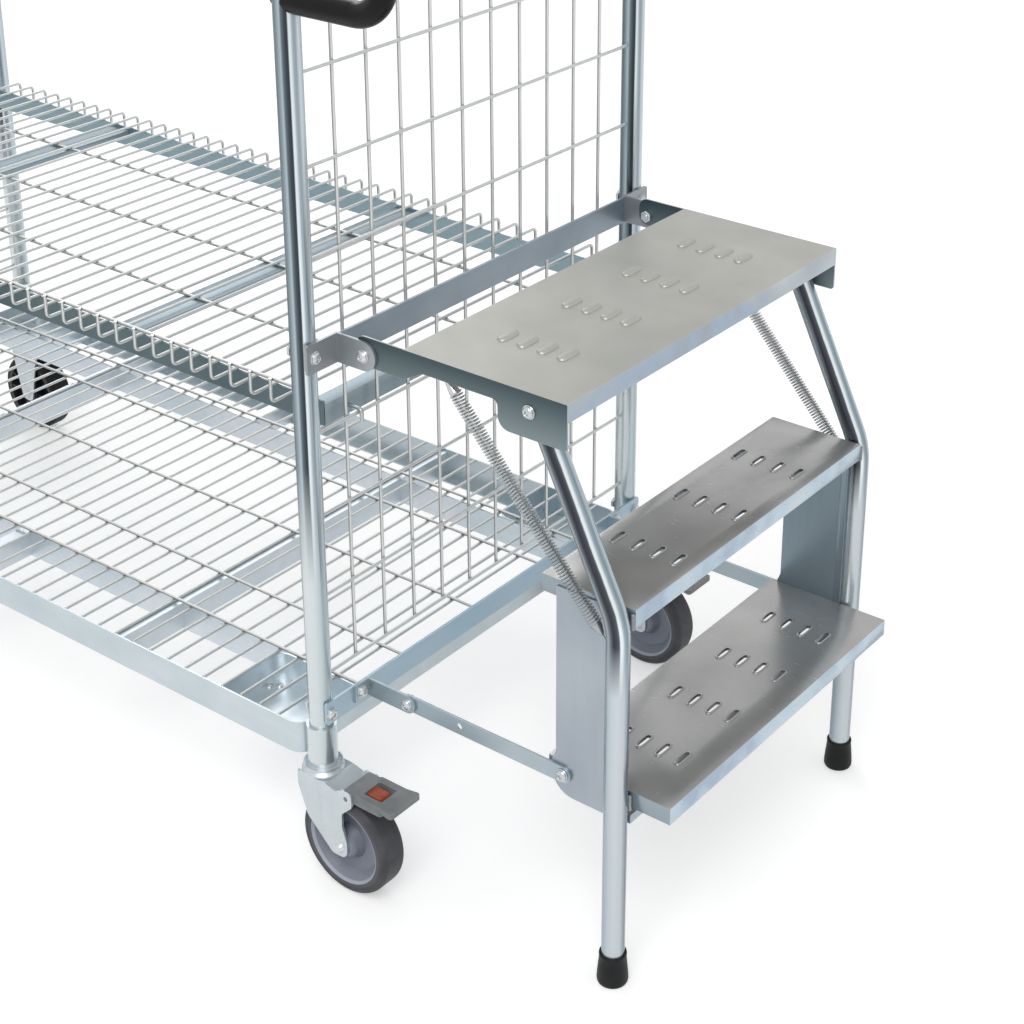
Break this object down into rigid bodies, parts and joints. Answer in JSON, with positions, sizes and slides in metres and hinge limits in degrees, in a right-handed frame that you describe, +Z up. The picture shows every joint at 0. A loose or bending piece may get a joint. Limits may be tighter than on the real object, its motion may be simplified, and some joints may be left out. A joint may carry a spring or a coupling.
{
  "type": "order picking trolley",
  "caption": "Zinc-plated order picking trolley with a wire deck and shelf between mesh end frames, castors, push handles and a sprung step ladder on one end.",
  "frame": {"origin": "floor level, at the middle of the overall length and width", "axes": "+X toward the ladder, +Y toward the back, +Z up"},
  "size_m": [1.6576, 0.6284, 1.5],
  "materials": {
    "zinc_steel": "bright zinc plate",
    "tread_steel": "satin zinc plate",
    "spring_steel": "bright zinc plate",
    "black_grip": "smooth black",
    "grey_tyre": "matte dark grey",
    "grey_hub": "moulded grey",
    "grey_pedal": "moulded grey",
    "brown_brake": "moulded brown",
    "black_tyre": "matte black",
    "black_hub": "moulded black",
    "black_rubber": "matte black"
  },
  "bodies": {
    "chassis": {"deck_rim": "zinc_steel", "end_trough_ladder": "zinc_steel", "end_trough_rear": "zinc_steel", "deck_inner_rails": "zinc_steel", "deck_cross_members": "zinc_steel", "deck_mesh": "zinc_steel", "corner_sockets": "zinc_steel", "ladder_end_frame": "zinc_steel", "ladder_end_mesh": "zinc_steel", "rear_end_frame": "zinc_steel", "rear_end_mesh": "zinc_steel", "shelf_rails": "zinc_steel", "shelf_cross_members": "zinc_steel", "shelf_mesh": "zinc_steel", "shelf_hooks": "zinc_steel", "end_rail": "zinc_steel", "hinge_brackets": "zinc_steel", "step_crossbar": "zinc_steel", "link_brackets": "zinc_steel", "frame_bolts": "zinc_steel", "hinge_bolts": "zinc_steel", "rear_plate_bolts": "zinc_steel", "push_handle_front": "black_grip", "caster_head_front": "zinc_steel", "rear_fork_front": "zinc_steel", "rear_axle_front": "zinc_steel", "push_handle_back": "black_grip", "caster_head_back": "zinc_steel", "rear_fork_back": "zinc_steel", "rear_axle_back": "zinc_steel"},
    "caster_swivel_front": {"caster_fork_front": "zinc_steel", "caster_axle_front": "zinc_steel"},
    "caster_wheel_front": {"caster_hub_front": "grey_hub", "caster_tyre_front": "grey_tyre"},
    "brake_front": {"brake_pedal_front": "grey_pedal", "brake_cam_front": "brown_brake"},
    "rear_wheel_front": {"rear_hub_front": "black_hub", "rear_tyre_front": "black_tyre"},
    "caster_swivel_back": {"caster_fork_back": "zinc_steel", "caster_axle_back": "zinc_steel"},
    "caster_wheel_back": {"caster_hub_back": "grey_hub", "caster_tyre_back": "grey_tyre"},
    "brake_back": {"brake_pedal_back": "grey_pedal", "brake_cam_back": "brown_brake"},
    "rear_wheel_back": {"rear_hub_back": "black_hub", "rear_tyre_back": "black_tyre"},
    "step_top": {"top_tread": "tread_steel", "lift_spring_front": "spring_steel", "lift_spring_back": "spring_steel"},
    "ladder_legs": {"middle_tread": "tread_steel", "bottom_tread": "tread_steel", "leg_front": "zinc_steel", "leg_back": "zinc_steel", "foot_front": "black_rubber", "foot_back": "black_rubber", "side_plates": "zinc_steel", "ladder_brace": "zinc_steel", "leg_bolts": "zinc_steel"},
    "lower_link_pair": {"lower_links": "zinc_steel"}
  },
  "joints": [
    {"name": "swivel_front", "type": "hinge", "parent": "chassis", "child": "caster_swivel_front", "pos_m": [0.40875, -0.288, 0.138], "axis": [0, 0, 1], "continuous": true},
    {"name": "wheel_spin_front", "type": "hinge", "parent": "caster_swivel_front", "child": "caster_wheel_front", "pos_m": [0.45075, -0.288, 0.0625], "axis": [0, 1, 0], "continuous": true},
    {"name": "brake_press_front", "type": "hinge", "parent": "caster_swivel_front", "child": "brake_front", "pos_m": [0.46275, -0.288, 0.133], "axis": [0, 1, 0], "range_deg": [0, 15]},
    {"name": "rear_spin_front", "type": "hinge", "parent": "chassis", "child": "rear_wheel_front", "pos_m": [-0.73825, -0.246, 0.0625], "axis": [0, 1, 0], "continuous": true},
    {"name": "swivel_back", "type": "hinge", "parent": "chassis", "child": "caster_swivel_back", "pos_m": [0.40875, 0.288, 0.138], "axis": [0, 0, 1], "continuous": true},
    {"name": "wheel_spin_back", "type": "hinge", "parent": "caster_swivel_back", "child": "caster_wheel_back", "pos_m": [0.45075, 0.288, 0.0625], "axis": [0, 1, 0], "continuous": true},
    {"name": "brake_press_back", "type": "hinge", "parent": "caster_swivel_back", "child": "brake_back", "pos_m": [0.46275, 0.288, 0.133], "axis": [0, 1, 0], "range_deg": [0, 15]},
    {"name": "rear_spin_back", "type": "hinge", "parent": "chassis", "child": "rear_wheel_back", "pos_m": [-0.73825, 0.246, 0.0625], "axis": [0, 1, 0], "continuous": true},
    {"name": "ladder_lift", "type": "hinge", "parent": "chassis", "child": "step_top", "pos_m": [0.46075, 0, 0.646], "axis": [0, -1, 0], "range_deg": [0, 6], "deforming": ["lift_spring_front", "lift_spring_back"]},
    {"name": "ladder_legs_swing", "type": "hinge", "parent": "step_top", "child": "ladder_legs", "pos_m": [0.67275, 0, 0.646], "axis": [0, -1, 0], "range_deg": [-6, 0]},
    {"name": "lower_link_swing", "type": "hinge", "parent": "chassis", "child": "lower_link_pair", "pos_m": [0.48475, 0, 0.222], "axis": [0, -1, 0], "range_deg": [0, 6]}
  ],
  "couplings": [
    {"joint": "ladder_legs_swing", "follows": "ladder_lift", "ratio": -1},
    {"joint": "lower_link_swing", "follows": "ladder_lift", "ratio": 1}
  ]
}
